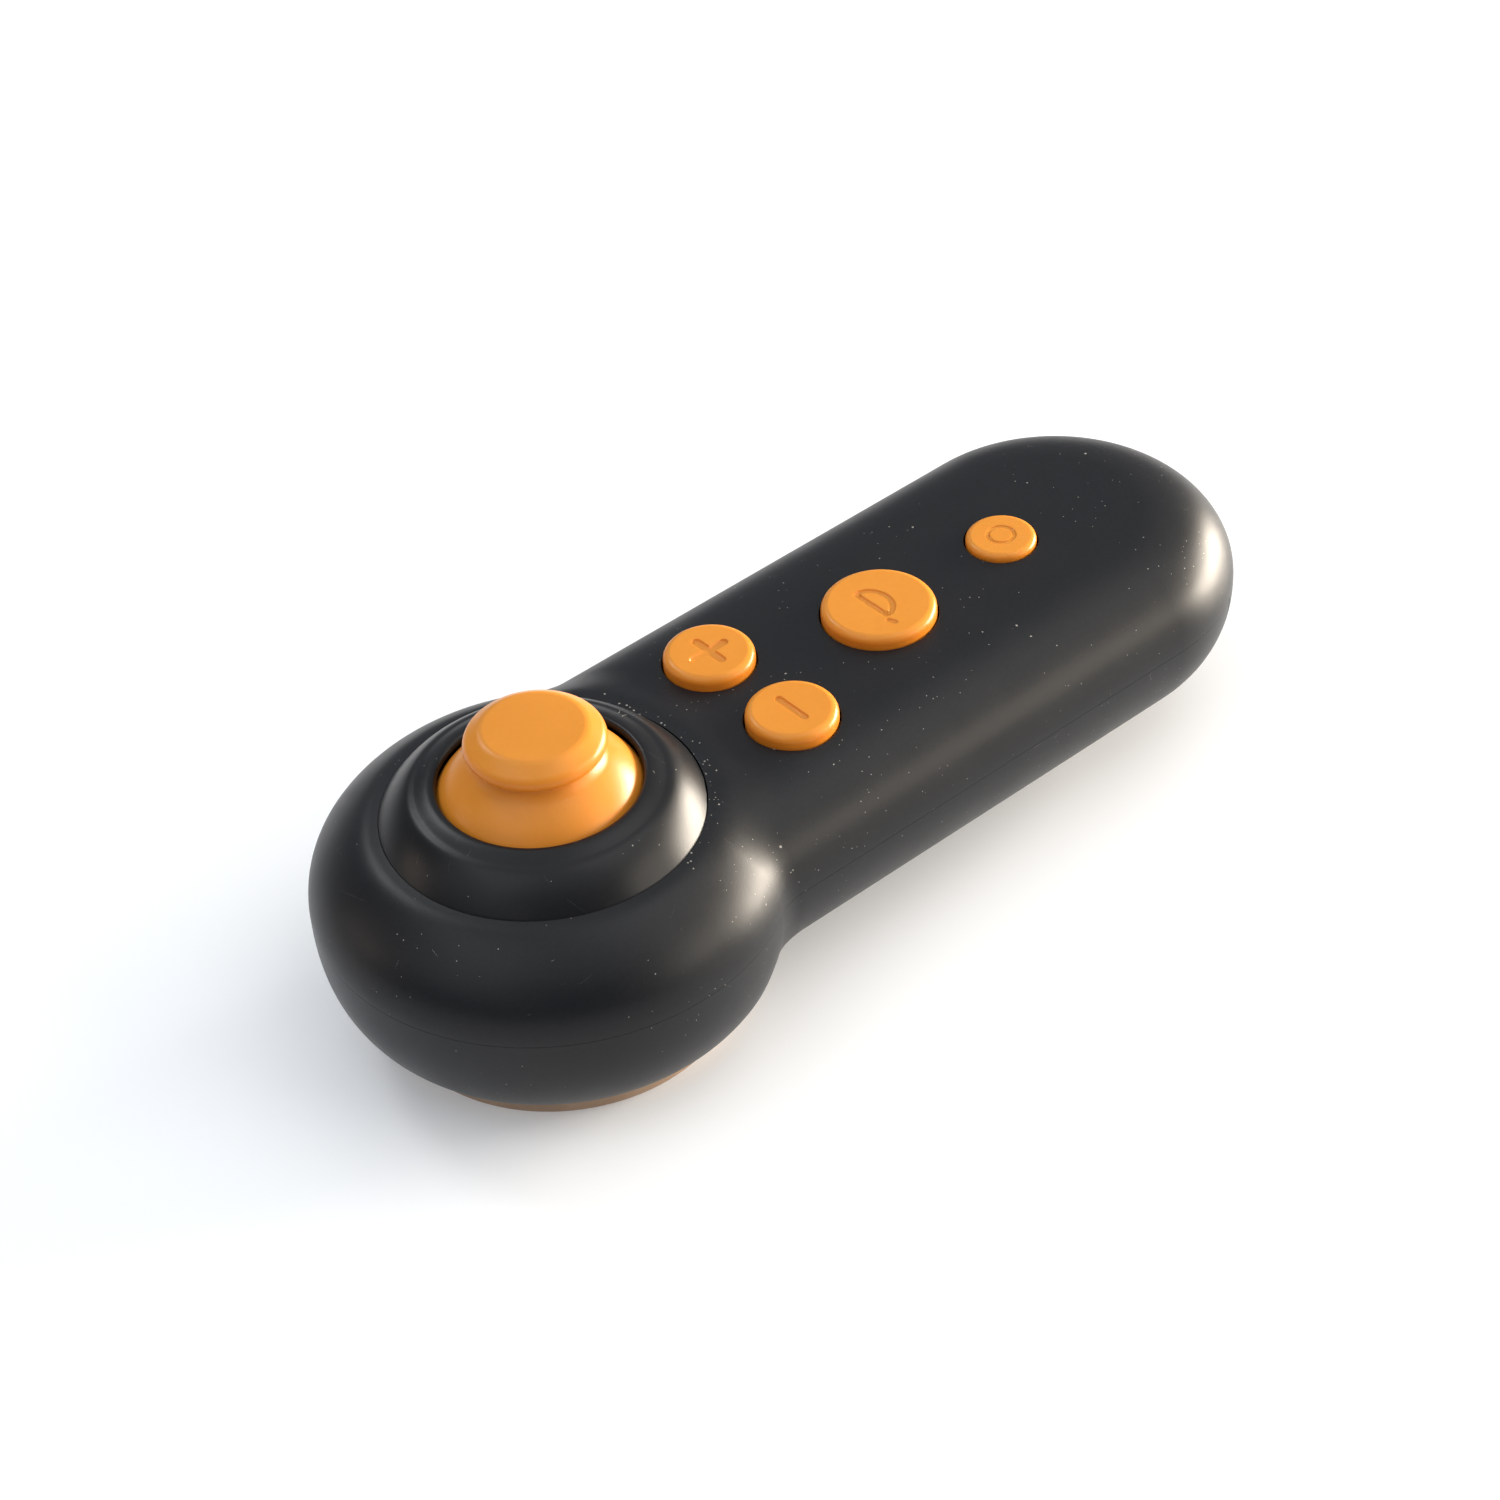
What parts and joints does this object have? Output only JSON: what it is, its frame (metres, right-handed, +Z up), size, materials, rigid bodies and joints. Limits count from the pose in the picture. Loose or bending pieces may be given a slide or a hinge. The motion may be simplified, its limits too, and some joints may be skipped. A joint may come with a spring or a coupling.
{
  "type": "train set controller",
  "caption": "Hand-held toy train controller: round head with an orange thumb stick in a raised collar, rounded black handle with orange push buttons and a sliding battery cover.",
  "frame": {"origin": "on the surface the controller stands on, under the middle of its bounding box", "axes": "+X along the handle from the round head to the free end, +Y towards the plus button, +Z up out of the button face"},
  "size_m": [0.1364, 0.058, 0.0419],
  "materials": {
    "casing": "soft-touch satin black",
    "collar": "satin black",
    "orange": "satin orange",
    "pad": "matte brown",
    "rubber": "matte",
    "nylon": "natural",
    "frame": "moulded",
    "board": "green solder mask",
    "chip": "moulded epoxy",
    "steel": "nickel plated",
    "brass": "plain",
    "cell": "printed sleeve"
  },
  "bodies": {
    "housing": {"top_shell": "casing", "bottom_shell": "casing", "stick_collar": "collar", "foot_pad": "pad", "gimbal_frame": "frame", "tilt_sensor_x": "board", "tilt_sensor_y": "board", "centring_spring": "steel", "switch_plus": "chip", "switch_minus": "chip", "switch_function": "chip", "switch_power": "chip", "main_board": "board", "controller_chip": "chip", "radio_module": "steel", "crystal": "steel", "voltage_chip": "chip", "capacitor": "cell", "battery_cell_1": "cell", "cell_plate_1": "brass", "cell_spring_1": "steel", "battery_cell_2": "cell", "cell_plate_2": "brass", "cell_spring_2": "steel", "case_screw_head_left": "steel", "case_screw_head_right": "steel", "case_screw_end_left": "steel", "case_screw_end_right": "steel", "board_screw_left": "steel", "board_screw_right": "steel"},
    "rocker": {"gimbal_rocker": "nylon"},
    "arch": {"gimbal_arch": "nylon"},
    "stick": {"stick_cap": "orange", "stick_shaft": "steel"},
    "cover": {"battery_cover": "casing", "rear_foot_left": "rubber", "rear_foot_right": "rubber"},
    "plus": {"button_plus": "orange", "plunger_plus": "nylon"},
    "minus": {"button_minus": "orange", "plunger_minus": "nylon"},
    "function": {"button_function": "orange", "plunger_function": "nylon"},
    "power": {"button_power": "orange", "plunger_power": "nylon"}
  },
  "joints": [
    {"name": "stick_tilt_side", "type": "hinge", "parent": "housing", "child": "rocker", "pos_m": [-0.03925, 0, 0.025], "axis": [1, 0, 0], "range_deg": [-13, 13], "stiffness_Nm_per_rad": 0.1, "deforming": ["centring_spring"]},
    {"name": "stick_tilt_forward", "type": "hinge", "parent": "rocker", "child": "stick", "pos_m": [-0.03925, 0, 0.025], "axis": [0, 1, 0], "range_deg": [-13, 13], "stiffness_Nm_per_rad": 0.1, "deforming": ["centring_spring"]},
    {"name": "arch_turn", "type": "hinge", "parent": "housing", "child": "arch", "pos_m": [-0.03925, 0, 0.025], "axis": [0, 1, 0], "range_deg": [-13.5, 13.5]},
    {"name": "plus_press", "type": "slide", "parent": "housing", "child": "plus", "axis": [0, 0, -1], "range_m": [0, 0.0008], "stiffness_N_per_m": 1200, "springref_m": -0.0004},
    {"name": "minus_press", "type": "slide", "parent": "housing", "child": "minus", "axis": [0, 0, -1], "range_m": [0, 0.0008], "stiffness_N_per_m": 1200, "springref_m": -0.0004},
    {"name": "function_press", "type": "slide", "parent": "housing", "child": "function", "axis": [0, 0, -1], "range_m": [0, 0.0008], "stiffness_N_per_m": 1200, "springref_m": -0.0004},
    {"name": "power_press", "type": "slide", "parent": "housing", "child": "power", "axis": [0, 0, -1], "range_m": [0, 0.0006], "stiffness_N_per_m": 1200, "springref_m": -0.0004},
    {"name": "cover_slide", "type": "slide", "parent": "housing", "child": "cover", "axis": [1, 0, 0], "range_m": [0, 0.03]}
  ],
  "couplings": [
    {"joint": "arch_turn", "follows": "stick_tilt_forward", "ratio": 1}
  ]
}
